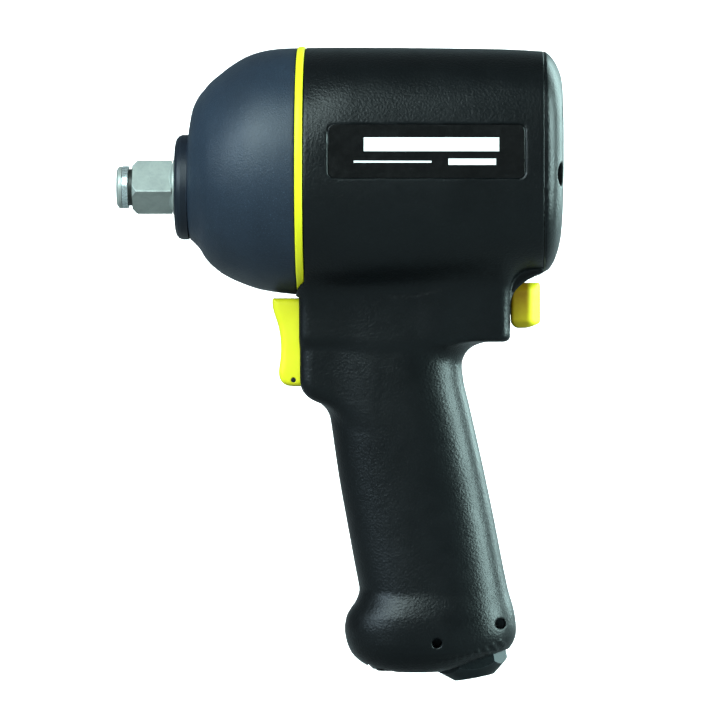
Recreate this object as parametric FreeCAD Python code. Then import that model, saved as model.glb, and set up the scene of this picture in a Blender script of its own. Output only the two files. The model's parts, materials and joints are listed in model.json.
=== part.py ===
import FreeCAD, Part
import math
import os

# Half-inch air impact wrench, pistol form.  Millimetres.
# Frame: origin at the tip of the square drive, on the drive axis.
# +X runs from the drive tip to the rear cover, +Z up, +Y to the far side.
# In names, R is a radius, X/Y/Z a place on that axis, and 0/1 the low and high end.

V = FreeCAD.Vector
os.makedirs("parts", exist_ok=True)

# ---------------------------------------------------------------- dimensions
DRIVE_AF = 12.7            # square drive across flats (1/2 inch)
TIP_R = 6.85               # round pilot in front of the square
SHAFT_R = 9.0              # anvil shaft in its bushing
JAW_R = 11.5
CORE_R = 8.5               # anvil core between the hammers
PILOT_R = 6.0              # anvil rear pilot

COLLAR_X = 19.2            # front of the nose collar
CASE_X = 23.5              # front flat of the hammer case
RING_X = 59.2              # front of the accent ring
BODY_X = 61.8              # front of the motor housing
REAR_X = 139.2             # rear face of the motor housing
COVER_X = REAR_X + 0.4     # front of the rear cover, behind the gasket

COLLAR_R = 17.15
CAVITY_R = 25.2            # hammer cavity
CAGE_R = 24.7
PIN_Z, PIN_R = 20.2, 3.75  # hammer pins, above and below the axis
HAMMER_R, HAMMER_BORE = 20.0, 13.2
LUG_R = 11.8               # inner radius of the hammer lugs

HOUSING_BORE = 26.5
CYL_R = 26.4               # nominal radius of the motor stack
STACK_R = CYL_R - 0.02     # outside of the case spigot, cylinder and end plates
CYL_BORE = 21.6
CYL_ECC = 2.3              # bore centre below the rotor axis
ROTOR_R = 19.2
PLATE_X0 = 66.0            # front end plate, to CYL_X0
CYL_X0, CYL_X1 = 74.0, 112.0
PLATE_X1 = 120.0           # rear end plate, from CYL_X1
REAR_BORE = 22.0
DOWEL_R, DOWEL_Z = 1.5, 23.2
BEARING_F_BORE, BEARING_F_R = 7.5, 14.0
BEARING_R_BORE, BEARING_R_R = 5.0, 13.0

BOLTS = [(22.5, 21.5), (-22.5, 21.5), (29.2, 3.0), (-29.2, 3.0)]   # (y, z)
BOLT_R, BOLT_HOLE, HEAD_R = 2.0, 2.25, 3.5
WASHER_X0, WASHER_X1 = 140.9, 141.4

TILT = 10.7                # handle rake, degrees
INLET = V(116.6, 0, -159.0)  # centre of the air inlet mouth
THREAD_R = 5.7             # 1/4 inch pipe thread, tapping radius
STEM_R, STEM_TOP = 10.9, 30.0  # inlet bushing stem
AIR_R = 8.2                # air passage in the grip
INSERT_R = AIR_R - 0.04    # valve seat and spring seat
SEAT = 81.0                # valve seat, distance up the inlet axis
ORING = 24.5               # inlet O-ring, distance up the inlet axis
ROLL_PIN_R = 1.5
ROLL_PINS = [(11.5, 15.2), (-9.7, 13.2)]   # (offset, distance up) on the inlet axis

ROD_Z, ROD_R = -51.5, 1.6  # trigger push rod
ROD_BUSH_R = 4.0
ROD_ORING_X = 80.0
TRIGGER_Y = 7.6            # trigger half width
CROSS_X, CROSS_Z, CROSS_R = 57.9, -63.0, 0.8   # trigger cross pin

REV_Z = -38.7              # reverse valve axis
REV_BUSH_R, REV_BORE = 7.0, 5.2
PORT_X, PORT_Y, PORT_R = 104, 9.0, 2.6
DETENT_X = 122.5
KNOB_X0, KNOB_X1 = 128.7, 138.2
EXHAUST_SCREW_X = 98.7

# Name plate outline, corner radius last
LABEL_X0, LABEL_X1, LABEL_Z0, LABEL_Z1, LABEL_R = 70.0, 132.8, 1.6, 18.6, 2.0

# Motor housing skin against x: top z, bottom z, half width, squareness exponent
TOP = [(RING_X, 45.35), (BODY_X, 45.4), (100, 45.1), (125, 44.7), (COVER_X, 43.9)]
BOTTOM = [(RING_X, -35.15), (BODY_X, -35.1), (100, -32.6), (125, -29.6), (COVER_X, -27.7)]
SIDE = [(RING_X, 39.9), (BODY_X, 39.9), (80, 39.3), (125, 37.4), (COVER_X, 36.7)]
SQUARENESS = [(RING_X, 2.2), (BODY_X, 2.25), (78, 2.75), (COVER_X, 2.9)]


# ------------------------------------------------------------------- helpers
def cyl_x(x0, x1, r, y=0.0, z=0.0):
    return Part.makeCylinder(r, x1 - x0, V(x0, y, z), V(1, 0, 0))


def cyl_y(y0, y1, r, x, z):
    return Part.makeCylinder(r, y1 - y0, V(x, y0, z), V(0, 1, 0))


def cyl_z(z0, z1, r, x=0.0, y=0.0):
    return Part.makeCylinder(r, z1 - z0, V(x, y, z0), V(0, 0, 1))


def tube(x0, x1, outer, inner, y=0.0, z=0.0):
    return cyl_x(x0, x1, outer, y, z).cut(cyl_x(x0 - 1, x1 + 1, inner, y, z))


def torus_x(x, ring_r, wire_r, z=0.0):
    return Part.makeTorus(ring_r, wire_r, V(x, 0, z), V(1, 0, 0))


def box(x0, x1, y0, y1, z0, z1):
    return Part.makeBox(x1 - x0, y1 - y0, z1 - z0, V(x0, y0, z0))


def polygon_face(points):
    return Part.Face(Part.makePolygon(points + points[:1]))


def revolve(profile):
    """Solid of revolution about X from (x, r) points."""
    return polygon_face([V(x, 0, r) for x, r in profile]).revolve(V(), V(1, 0, 0), 360)


def prism_x(points, x0, x1):
    """Extrude a (y, z) polygon from x0 to x1."""
    return polygon_face([V(x0, y, z) for y, z in points]).extrude(V(x1 - x0, 0, 0))


def prism_y(points, y0, y1):
    """Extrude an (x, z) polygon from y0 to y1."""
    return polygon_face([V(x, y0, z) for x, z in points]).extrude(V(0, y1 - y0, 0))


def prism_z(points, z0, z1):
    """Extrude an (x, y) polygon from z0 to z1."""
    return polygon_face([V(x, y, z0) for x, y in points]).extrude(V(0, 0, z1 - z0))


def hexagon(r, across=0.0, up=0.0, turn=0):
    angles = [math.radians(60 * i + turn) for i in range(6)]
    return [(across + r * math.cos(a), up + r * math.sin(a)) for a in angles]


def wedge(half_angle, x0, x1):
    """Triangular prism opening upward from the drive axis."""
    a = math.radians(half_angle)
    across, up = 20 * math.sin(a), 20 * math.cos(a)
    return prism_x([(0, 0), (-across, up), (across, up)], x0, x1)


def split_ring(x0, x1, outer, inner, half_gap):
    """Ring with a V gap at the bottom, half_gap wide at z = -9."""
    gap = prism_x([(0, 0), (-half_gap, -9), (half_gap, -9)], x0 - 1, x1 + 1)
    return tube(x0, x1, outer, inner).cut(gap)


def spring(pitch, height, coil_r, wire_r, base, slope):
    """Coil up Z from base; slope tips the wire section along the helix."""
    helix = Part.makeHelix(pitch, height, coil_r)
    helix.translate(base)
    circle = Part.makeCircle(wire_r, base + V(coil_r, 0, 0), V(0, 1, slope))
    return Part.Wire(helix.Edges).makePipeShell([Part.Wire([circle])], True, True)


def fuse(first, *others):
    for other in others:
        first = first.fuse(other)
    return first.removeSplitter()


def spin(shape, degrees):
    turned = shape.copy()
    turned.rotate(V(), V(1, 0, 0), degrees)
    return turned


def on_inlet(shape):
    """Move a shape built up +Z from the origin onto the raked inlet axis."""
    moved = shape.copy()
    moved.rotate(V(), V(0, 1, 0), -TILT)
    moved.translate(INLET)
    return moved


def bolt_holes(shape, x0, x1, r=BOLT_HOLE):
    for y, z in BOLTS:
        shape = shape.cut(cyl_x(x0, x1, r, y, z))
    return shape


def closed_curve(points):
    n = len(points)
    curve = Part.BSplineCurve()
    curve.interpolate(Points=points, PeriodicFlag=True, Parameters=[i / n for i in range(n + 1)])
    return Part.Wire([curve.toShape()])


def rounded(half_u, half_v, power, count=36):
    """Superellipse points; a power of 2 is an ellipse, higher is squarer."""
    points = []
    for i in range(count):
        a = 2 * math.pi * i / count
        u, v = math.cos(a), math.sin(a)
        k = (abs(u / half_u) ** power + abs(v / half_v) ** power) ** (-1 / power)
        points.append((k * u, k * v))
    return points


def section_x(x, mid_z, half_z, half_y, power):
    return closed_curve([V(x, u, mid_z + v) for u, v in rounded(half_y, half_z, power)])


def section_z(z, x0, x1, half_y, power):
    mid = (x1 + x0) / 2
    return closed_curve([V(mid + u, v, z) for u, v in rounded((x1 - x0) / 2, half_y, power)])


def loft(wires):
    solid = Part.makeLoft(wires, True, False)
    if solid.Volume < 0:
        solid.reverse()
    return solid


def loft_z(stations, *power):
    """Loft (z, x0, x1, half width[, power]) stations."""
    return loft([section_z(*station, *power) for station in stations])


def interpolate(x, table):
    for (xa, a), (xb, b) in zip(table, table[1:]):
        if x <= xb:
            return a + (b - a) * (x - xa) / (xb - xa)
    return table[-1][1]


def body_section(x, up=0.0, down=0.0, out=0.0):
    """Housing skin at x, grown at the top, bottom and sides."""
    top, bottom = interpolate(x, TOP) + up, interpolate(x, BOTTOM) - down
    return section_x(x, (top + bottom) / 2, (top - bottom) / 2,
                     interpolate(x, SIDE) + out, interpolate(x, SQUARENESS))


def save(name, *solids):
    shape = solids[0] if len(solids) == 1 else Part.makeCompound(list(solids))
    if len(shape.Solids) == 1:
        shape = shape.Solids[0]
    shape.exportStep("parts/%s.step" % name)


# =============================================================== drive line
def jaw(x0, x1, turn):
    return spin(cyl_x(x0, x1, JAW_R).common(wedge(15, x0, x1)), turn)


def anvil():
    """Pilot, ring groove, square, shaft, two jaws and a rear pilot."""
    h = DRIVE_AF / 2
    square = box(5.0, 18.0, -h, h, -h, h)
    square = square.common(revolve([(4.9, 0), (4.9, 7.0), (6.6, 8.85), (18.1, 8.85), (18.1, 0)]))
    square.rotate(V(), V(1, 0, 0), -34.0)
    core = revolve([
        (0, 0), (0, 5.9), (0.7, TIP_R), (1.7, TIP_R), (1.7, 4.7), (3.9, 4.7),
        (3.9, 6.0), (5.2, 6.0), (17.2, 6.0), (18.4, 8.4), (18.4, SHAFT_R),
        (32.4, SHAFT_R), (32.4, 11.4), (34.4, 11.4), (34.4, CORE_R), (55.6, CORE_R),
        (55.6, PILOT_R), (59.0, PILOT_R), (59.5, PILOT_R - 0.5), (59.5, 0)])
    return fuse(core.fuse(square), jaw(39.2, 46.8, 0), jaw(47.7, 55.3, 180))


save("anvil", anvil())
save("socket_retainer_ring", split_ring(1.85, 3.75, 6.95, 5.75, 1.6))
save("retainer_o_ring", torus_x(2.8, 5.2, 0.45))

# Nose collar over the front boss of the case, and the shaft bushing.
save("nose_collar", revolve([
    (COLLAR_X, 9.7), (COLLAR_X, 14.6), (COLLAR_X + 0.35, 15.8), (COLLAR_X + 1.1, 16.7),
    (COLLAR_X + 2.2, COLLAR_R), (CASE_X - 0.03, COLLAR_R), (CASE_X - 0.03, 12.6),
    (20.77, 12.6), (20.77, 9.7)]))
save("anvil_bushing", revolve([(21.0, SHAFT_R + 0.05), (21.0, 10.98),
                               (32.2, 10.98), (32.2, SHAFT_R + 0.05)]))

# Outside of the hammer case: x, centre z, radius
DOME = [(CASE_X, 0.8, 17.9), (25.0, 4.0, 22.0), (27.1, 4.9, 25.2), (29.1, 4.5, 28.0),
        (30.4, 4.4, 29.5), (33.7, 4.5, 32.3), (36.9, 4.8, 34.5), (40.2, 5.15, 36.3),
        (43.5, 5.3, 37.75), (46.7, 5.35, 38.75), (50.0, 5.35, 39.4), (53.3, 5.25, 39.85),
        (56.5, 5.15, 40.1), (RING_X, 5.1, 40.25)]


def hammer_case():
    """Eccentric dome with a hammer cavity, a front boss and a motor spigot."""
    sections = []
    for x, mid_z, r in DOME:
        k = (x - CASE_X) / (RING_X - CASE_X)
        sections.append(section_x(x, mid_z, r, r * (1 - 0.009 * k), 2.0 + 0.2 * k ** 2))
    case = fuse(loft(sections), cyl_x(20.8, 24.5, 12.5), cyl_x(56.0, PLATE_X0, STACK_R))
    case = case.cut(cyl_x(20, 40, 11.0)).cut(cyl_x(32.2, 36, 17.0))
    case = case.cut(revolve([(34.3, 0), (34.3, 22.6), (36.6, CAVITY_R), (70, CAVITY_R), (70, 0)]))
    return bolt_holes(case, 45.5, 62, BOLT_R + 0.03)


def accent_ring():
    """Ring between the case and the motor housing, proud of the skin."""
    stations = [(RING_X, 0.25), (60.5, 0.4), (61.7, 0.25)]
    ring = loft([body_section(x, grow, grow, grow) for x, grow in stations])
    return bolt_holes(ring.cut(cyl_x(58, 63, CYL_R + 0.05)), 58, 63)


def hammer_cage():
    """Two plates and two side webs, with a hexagon-bored hub to the rear."""
    webs = fuse(box(38, 57, 20.0, 26, -13, 13), box(38, 57, -26, -20.0, -13, 13))
    cage = fuse(tube(35.0, 38.7, CAGE_R, 12.2), tube(55.8, 59.9, CAGE_R, PILOT_R + 0.06),
                tube(38.0, 56.5, CAGE_R, 22.6).common(webs), tube(59.9, 65.2, 10.4, 5.0))
    cage = cage.cut(prism_x(hexagon(7.35), 60.3, 66))
    for side in (1, -1):
        cage = cage.cut(cyl_x(34, 61, PIN_R + 0.03, 0, side * PIN_Z))
    return cage.cut(revolve([(34, 21.6), (37.6, 25.4), (34, 25.4)]))


def hammer(x0, x1):
    """Ring hammer that rocks on the pin at +Z, with a lug at each side."""
    ring = tube(x0, x1, HAMMER_R, HAMMER_BORE)
    lug_ring = tube(x0, x1, HAMMER_BORE + 1, LUG_R)
    for turn in (90, -90):
        ring = ring.fuse(lug_ring.common(spin(wedge(13, x0, x1), turn)))
    x0, x1 = x0 - 1, x1 + 1
    ring = ring.cut(cyl_x(x0, x1, PIN_R + 0.05, 0, PIN_Z))
    # slot that clears the opposite pin
    slot = fuse(box(x0, x1, -8.2, 8.2, -30, -18.0), box(x0, x1, -6.2, 6.2, -30, -15.9),
                cyl_x(x0, x1, 2.1, 6.2, -18.0), cyl_x(x0, x1, 2.1, -6.2, -18.0))
    return ring.cut(slot).removeSplitter()


save("hammer_case", hammer_case())
save("accent_ring", accent_ring())
save("hammer_cage", hammer_cage())
save("hammer_pins", *[cyl_x(36.7, 59.7, PIN_R, 0, z) for z in (PIN_Z, -PIN_Z)])
save("hammer_front", hammer(38.9, 47.1))
save("hammer_rear", spin(hammer(47.4, 55.6), 180))


# =============================================================== air motor
def end_plate(x0, x1, bore, bearing_r, dowel_x0, dowel_x1):
    plate = tube(x0, x1, STACK_R, bore).cut(cyl_x(x0 + 0.6, x1 + 1, bearing_r + 0.03))
    return plate.cut(cyl_x(dowel_x0, dowel_x1, DOWEL_R + 0.02, 0, DOWEL_Z))


def save_bearing(place, x0, x1, bore, outer, pitch_r, ball_r, count):
    mid = (x0 + x1) / 2
    groove = torus_x(mid, pitch_r, ball_r + 0.04)
    save(place + "_bearing_inner_race", tube(x0, x1, pitch_r - ball_r * 0.6, bore).cut(groove))
    save(place + "_bearing_outer_race", tube(x0, x1, outer, pitch_r + ball_r * 0.6).cut(groove))
    angles = [2 * math.pi * i / count for i in range(count)]
    save(place + "_bearing_balls",
         *[Part.makeSphere(ball_r, V(mid, pitch_r * math.cos(a), pitch_r * math.sin(a)))
           for a in angles])


def motor_cylinder():
    x0, x1 = CYL_X0 - 1, CYL_X1 + 1
    cylinder = cyl_x(CYL_X0, CYL_X1, STACK_R).cut(cyl_x(x0, x1, CYL_BORE, 0, -CYL_ECC))
    cylinder = cylinder.cut(cyl_x(x0, x1, DOWEL_R + 0.02, 0, DOWEL_Z))
    for x in range(82, 107, 6):             # exhaust slots to the underside
        cylinder = cylinder.cut(box(x - 1.2, x + 1.2, -6, 6, -30, -20))
    for y in (10, -10):                     # inlet ports each side of the seal line
        cylinder = cylinder.cut(box(84, 102, y - 1.5, y + 1.5, 12, 30))
    return cylinder


def rotor():
    """Slotted rotor with a hexagon at the front and a snap ring groove at the rear."""
    front_r, rear_r = BEARING_F_BORE - 0.03, BEARING_R_BORE - 0.03
    x0, x1 = CYL_X0 + 0.06, CYL_X1 - 0.06
    body = revolve([
        (60.5, 0), (60.5, 6.2), (65.4, 6.2), (65.4, front_r), (CYL_X0, front_r), (CYL_X0, 9.4),
        (x0, 9.4), (x0, ROTOR_R), (x1, ROTOR_R), (x1, 7.0), (CYL_X1, 7.0),
        (CYL_X1, rear_r), (120.4, rear_r), (120.4, 4.3), (121.5, 4.3), (121.5, rear_r),
        (122.6, rear_r), (122.6, 0)])
    body = body.fuse(prism_x(hexagon(7.25), 60.5, 65.5).common(cyl_x(60, 66, 6.95)))
    for turn in range(30, 390, 60):
        body = body.cut(spin(box(73, 113, -1.15, 1.15, 10.4, 25), turn))
    return body.removeSplitter()


save("front_end_plate",
     end_plate(PLATE_X0, CYL_X0, 10.2, BEARING_F_R, PLATE_X0 + 2, CYL_X0 + 1))
save_bearing("front", 66.7, 73.7, BEARING_F_BORE, BEARING_F_R, pitch_r=10.8, ball_r=2.0, count=9)
save("motor_cylinder", motor_cylinder())
save("rotor", rotor())
VANE = box(CYL_X0 + 0.1, CYL_X1 - 0.1, -1.1, 1.1, 10.5, ROTOR_R - 0.25)
save("rotor_vanes", *[spin(VANE, turn) for turn in range(30, 390, 60)])
save("rear_end_plate",
     end_plate(CYL_X1, PLATE_X1, 7.6, BEARING_R_R, CYL_X1 - 1, PLATE_X1 - 2))
save_bearing("rear", 112.8, PLATE_X1, BEARING_R_BORE, BEARING_R_R, pitch_r=9.0, ball_r=2.2, count=7)
save("cylinder_dowel", cyl_x(PLATE_X0 + 2.1, PLATE_X1 - 2.1, DOWEL_R, 0, DOWEL_Z))
save("rotor_snap_ring", split_ring(120.55, 121.35, 6.6, 4.35, 2))

# =============================================================== housing
# Stations down the handle: z, front x, rear x, half width, and in the first two the power
NECK = [(-8, 62.4, 127.0, 24, 3.2), (-24, 61.9, 128.0, 22.5, 3.6), (-33, 59.9, 128.4, 19.0, 4.5),
        (-42, 59.8, 128.4, 17.2, 5.0), (-49.2, 59.8, 128.4, 16.6, 5.0),
        (-50.4, 60.6, 127.6, 15.8, 5.0)]
TRIGGER_BOSS = [(-42, 59.8, 88, 15.2, 3.6), (-52, 59.8, 88, 14.8, 3.6), (-62, 59.85, 87, 14.2, 3.4),
                (-65.5, 60.6, 86, 13.4, 3.2), (-68.0, 62.8, 85, 12.0, 3.0),
                (-69.6, 66.5, 84, 9.8, 2.8)]
GRIP = [(-44, 67.4, 117.0, 17.0), (-50, 67.5, 117.6, 17.2), (-54, 67.7, 114.6, 17.3),
        (-58, 68.0, 112.8, 17.4), (-63, 68.4, 113.3, 17.5), (-70, 69.0, 114.8, 17.5),
        (-80, 70.4, 117.1, 17.5), (-95, 72.6, 120.4, 17.6), (-110, 75.3, 123.5, 18.0),
        (-122, 77.5, 125.8, 18.5), (-133, 79.6, 128.0, 19.2), (-141, 81.0, 129.4, 19.6),
        (-146, 82.0, 129.6, 19.4), (-150, 84.0, 127.8, 18.5)]
BASE = [(-129, 84.0, 124.0, 14.0), (-132.5, 80.2, 126.0, 17.0), (-135, 78.5, 127.4, 18.8),
        (-137.6, 76.3, 128.4, 20.0), (-140.5, 74.9, 129.1, 20.8), (-144, 74.5, 129.6, 21.1),
        (-148, 75.1, 128.6, 20.9), (-151.5, 76.4, 126.0, 20.0), (-154.4, 79.0, 120.0, 18.2),
        (-156.6, 83.0, 113.5, 15.4), (-158.0, 88.6, 106.5, 11.5)]
# Side outline (x, z) of the web under the rear overhang
WEB = [(126.0, -38.0), (128.4, -38.0), (128.8, -36.4), (129.6, -34.6), (130.9, -33.0),
       (132.6, -31.5), (134.5, -30.1), (136.5, -29.1), (138.4, -28.4), (REAR_X, -28.0),
       (REAR_X, -24.0), (126.0, -24.0)]


def handle_base():
    return loft_z(BASE, 2.35)


def knob_room():
    """Swing room of the reverse knob."""
    return cyl_x(128.5, 150, 11.2, 0, REV_Z).common(box(128.5, 150, -12, 12, -60, -28.85))


def label_solid(grow, y_in, y_out):
    """Rounded plate along the near side; y_in and y_out measured inward from the skin."""
    x0, x1 = LABEL_X0 - grow, LABEL_X1 + grow
    z0, z1 = LABEL_Z0 - grow, LABEL_Z1 + grow
    r = LABEL_R
    block = fuse(box(x0 + r, x1 - r, -45, -30, z0, z1), box(x0, x1, -45, -30, z0 + r, z1 - r),
                 *[cyl_y(-45, -30, r, x, z) for x in (x0 + r, x1 - r) for z in (z0 + r, z1 - r)])
    skin0, skin1 = -interpolate(LABEL_X0, SIDE), -interpolate(LABEL_X1, SIDE)
    x0, x1 = LABEL_X0 - 5, LABEL_X1 + 5
    return block.common(prism_z([(x0, skin0 + y_out), (x1, skin1 + y_out),
                                 (x1, skin1 + y_in), (x0, skin0 + y_in)], -10, 25))


def housing_blank():
    barrel = loft([body_section(x) for x in (BODY_X, 70, 80, 92, 105, 118, 130, REAR_X)])
    inlet_boss = on_inlet(fuse(Part.makeCone(12.2, 13.6, 2.0, V(0, 0, 8.2)), cyl_z(10.2, 30, 13.6)))
    inlet_boss = inlet_boss.common(box(90, 131.0, -20, 20, -165, -100))
    web = prism_y(WEB, -15.0, 15.0)
    web = web.common(loft_z([(-40, 100, REAR_X, 15.2), (-20, 100, REAR_X, 15.2)], 4))
    # the neck stops below the accent ring
    neck = loft_z(NECK).cut(box(50, 61.9, -30, 30, -35.75, 10))
    return fuse(barrel, neck, loft_z(TRIGGER_BOSS), loft_z(GRIP, 2.45), handle_base(),
                inlet_boss, web)


def motor_housing():
    house = housing_blank()
    # room round the inlet bushing
    house = house.cut(on_inlet(cyl_z(-12, 8.2, 12.7)))
    house = house.cut(knob_room())
    house = house.cut(cyl_x(61, PLATE_X1 + 0.02, HOUSING_BORE)).cut(cyl_x(119, 140, REAR_BORE))
    house = bolt_holes(house, 61, 140)
    # reverse valve bore, and the slightly drafted air passage that meets it
    house = house.cut(cyl_x(97.5, 130, REV_BUSH_R + 0.05, 0, REV_Z))
    passage_h = SEAT + 3.02 - STEM_TOP
    house = house.cut(on_inlet(fuse(
        cyl_z(7, STEM_TOP + 0.2, STEM_R + 0.1),
        Part.makeCone(AIR_R + 0.02, AIR_R, passage_h, V(0, 0, STEM_TOP)),
        Part.makeCone(7.62, 7.58, 37.5, V(0, 0, 80)))))
    # passages from the reverse valve up to the motor bore
    for y in (PORT_Y, -PORT_Y):
        house = house.cut(cyl_z(-40, -20, PORT_R, PORT_X, y))
        house = house.cut(cyl_y(min(0, y), max(0, y), PORT_R, PORT_X, REV_Z))
    # trigger pocket, push rod bore
    half = TRIGGER_Y + 0.25
    house = house.cut(box(50, 70.6, -half, half, -65.5, -35.9))
    house = house.cut(cyl_x(70, 95, ROD_R + 0.12, 0, ROD_Z))
    house = house.cut(cyl_x(75.0, 97.0, ROD_BUSH_R + 0.05, 0, ROD_Z))
    # exhaust duct down the front of the grip, with side ducts past the push rod
    house = house.cut(Part.makeCylinder(5.4, 92, V(91.0, 0, -158), V(-11.0, 0, 84).normalize()))
    house = house.cut(box(77, 84, -12.5, 12.5, -72, -66.5))
    for y in (9.4, -9.4):
        house = house.cut(cyl_z(-68, -15, 2.9, 80.5, y))
    # exhaust cover recess in the base
    house = house.cut(box(82.2, 101.8, -9.2, 9.2, -159, -153.4))
    house = house.cut(cyl_z(-158, -143, 1.3, EXHAUST_SCREW_X))
    # roll-pin holes across the inlet boss
    for offset, up in ROLL_PINS:
        house = house.cut(on_inlet(cyl_y(-30, 30, ROLL_PIN_R + 0.03, offset, up)))
    # detent pocket above the reverse valve, name plate recess on the near side
    house = house.cut(cyl_z(REV_Z + 6, REV_Z + 12.6, 1.6, DETENT_X))
    return house.cut(label_solid(0.15, 1.05, -4.0)).removeSplitter()


def rear_gasket():
    """Housing outline drawn in at the top and sides, near flush underneath."""
    gasket = loft([body_section(x, -0.8, 0.12, -0.6) for x in (REAR_X, COVER_X)])
    return bolt_holes(gasket.cut(cyl_x(138, 141, REAR_BORE)), 138, 141)


# Rear cover: x, top z, bottom z
COVER = [(COVER_X, 43.9, -27.7), (140.6, 43.2, -27.2), (142.2, 41.5, -25.3), (143.8, 38.7, -21.4),
         (144.8, 36.0, -17.0), (145.4, 33.2, -11.5), (145.8, 29.5, -4.5)]


def rear_cover():
    sections = []
    for x, top, bottom in COVER:
        half_z = (top - bottom) / 2
        half_y = 36.7 * (half_z / 35.8) ** 0.72   # from the half sizes at COVER_X
        sections.append(section_x(x, (top + bottom) / 2, half_z, half_y, 2.9))
    cover = loft(sections).cut(cyl_x(139, 142.2, 20.0))
    cover = fuse(cover, tube(134.5, 140.5, REAR_BORE - 0.06, 19.6))
    cover = bolt_holes(cover, 139, 147).cut(knob_room())
    return bolt_holes(cover, WASHER_X0, 148, HEAD_R + 0.3)


def through_bolt(y, z):
    head = fuse(cyl_x(WASHER_X1, 142.4, HEAD_R, y, z),
                Part.makeCone(HEAD_R, HEAD_R - 1.0, 0.9, V(142.4, y, z), V(1, 0, 0)))
    bolt = fuse(cyl_x(46.0, 141.5, BOLT_R, y, z), head)
    return bolt.cut(prism_x(hexagon(1.75, y, z), 141.9, 145))


save("motor_housing", motor_housing())
save("name_plate", label_solid(0.0, 1.0, 0.3))
save("inlet_roll_pins", *[on_inlet(cyl_y(-11.0, 11.0, ROLL_PIN_R, *place)) for place in ROLL_PINS])
save("rear_gasket", rear_gasket())
save("rear_cover", rear_cover())
save("through_bolts", *[through_bolt(y, z) for y, z in BOLTS])
save("bolt_washers", *[tube(WASHER_X0, WASHER_X1, HEAD_R, BOLT_R + 0.1, y, z) for y, z in BOLTS])

# =============================================================== trigger
# Side outline (x, z)
TRIGGER = [(64.0, -36.3), (50.8, -36.3), (51.0, -39.5), (51.8, -42.2), (52.8, -45.0),
           (53.5, -48.5), (53.75, -52.0), (53.6, -56.0), (53.1, -59.0), (53.0, -61.0),
           (53.7, -63.2), (55.2, -64.6), (57.2, -65.1), (64.0, -65.1)]


def trigger():
    body = fuse(prism_y(TRIGGER, -TRIGGER_Y, TRIGGER_Y), cyl_x(63.5, 65.3, 4.0, 0, ROD_Z))
    body = body.cut(cyl_x(58.5, 68, ROD_R + 0.03, 0, ROD_Z))
    body = body.cut(cyl_y(-9, 9, CROSS_R + 0.02, CROSS_X, CROSS_Z))
    front_edges = [e for e in body.Edges if e.BoundBox.XMax < 58
                   and abs(abs(e.BoundBox.YMin) - TRIGGER_Y) < 1e-3
                   and e.BoundBox.YLength < 1e-3 and e.Length > 0.8]
    # the fillet can fail on the short facets; the edges then stay sharp
    try:
        return body.makeFillet(0.9, front_edges)
    except Exception:
        return body


save("trigger", trigger())
save("trigger_cross_pin", cyl_y(-TRIGGER_Y + 0.3, TRIGGER_Y - 0.3, CROSS_R, CROSS_X, CROSS_Z))
save("push_rod", fuse(cyl_x(58.6, 93.2, ROD_R, 0, ROD_Z),
                      Part.makeSphere(ROD_R, V(93.2, 0, ROD_Z))))
save("push_rod_bushing", tube(75.05, 86.0, ROD_BUSH_R, ROD_R + 0.06, 0, ROD_Z).cut(
    torus_x(ROD_ORING_X, 2.15, 0.62, ROD_Z)))
save("push_rod_o_ring", torus_x(ROD_ORING_X, 2.2, 0.5, ROD_Z))

# Tip valve, its seat, spring and spring seat, all on the inlet axis.
save("throttle_valve", on_inlet(fuse(
    cyl_z(SEAT - 2.6, SEAT - 0.1, 6.6), cyl_z(SEAT - 4.0, SEAT - 2.6, 3.2),
    cyl_z(SEAT - 0.2, 112.0, 1.4), Part.makeSphere(1.4, V(0, 0, 112.0)))))
save("valve_seat", on_inlet(cyl_z(SEAT, SEAT + 3, INSERT_R).cut(cyl_z(SEAT - 1, SEAT + 4, 4.6))))
save("valve_spring", on_inlet(spring(3.1, 15.5, 4.9, 0.5, V(0, 0, 61.6), 0.1)))
save("spring_seat", on_inlet(cyl_z(59.0, 61.0, INSERT_R).cut(cyl_z(58, 62, 4.0))))


# =============================================================== reverse valve
def reverse_valve():
    """Spool cut away round a core at the ports, with a detent groove."""
    spool = fuse(cyl_x(98.4, 127.4, 5.14, 0, REV_Z), cyl_x(127.2, 133.0, 3.0, 0, REV_Z))
    relief = box(99.6, 109.5, -0.9, 6, REV_Z - 6, REV_Z + 6)
    spool = spool.cut(relief.cut(cyl_x(99, 110, 2.2, 0, REV_Z)))
    spool = spool.cut(torus_x(DETENT_X, 6.0, 1.62, REV_Z))
    return spool.cut(cyl_x(130.5, 134, 1.3, 0, REV_Z))


def reverse_knob():
    w, h, corner = 9.5, 7.35, 2.2      # half width, half height, corner cut
    outline = [(-w + corner, -h), (w - corner, -h), (w, -h + corner), (w, h - corner),
               (w - corner, h), (-w + corner, h), (-w, h - corner), (-w, -h + corner)]
    knob = prism_x([(y, REV_Z + z) for y, z in outline], KNOB_X0, KNOB_X1)
    # both cheeks slope in towards the rear face
    bend = KNOB_X1 - 3.5
    knob = knob.common(prism_z([(KNOB_X0, -w), (bend, -w), (KNOB_X1, -w + 2.6),
                                (KNOB_X1, w - 2.6), (bend, w), (KNOB_X0, w)],
                               REV_Z - 9, REV_Z + 9))
    # side profile with a sloped underside
    profile = [(KNOB_X0, 9), (KNOB_X1, 9), (KNOB_X1, -5.7), (134.9, -7.2),
               (130.3, -h - 0.01), (KNOB_X0, -5.7)]
    knob = knob.common(prism_y([(x, REV_Z + z) for x, z in profile], -12, 12))
    for x0, x1, r in [(128, 133.1, 3.04), (133, 139, 1.65), (136.2, 139, 3.0)]:
        knob = knob.cut(cyl_x(x0, x1, r, 0, REV_Z))
    return knob


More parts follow.
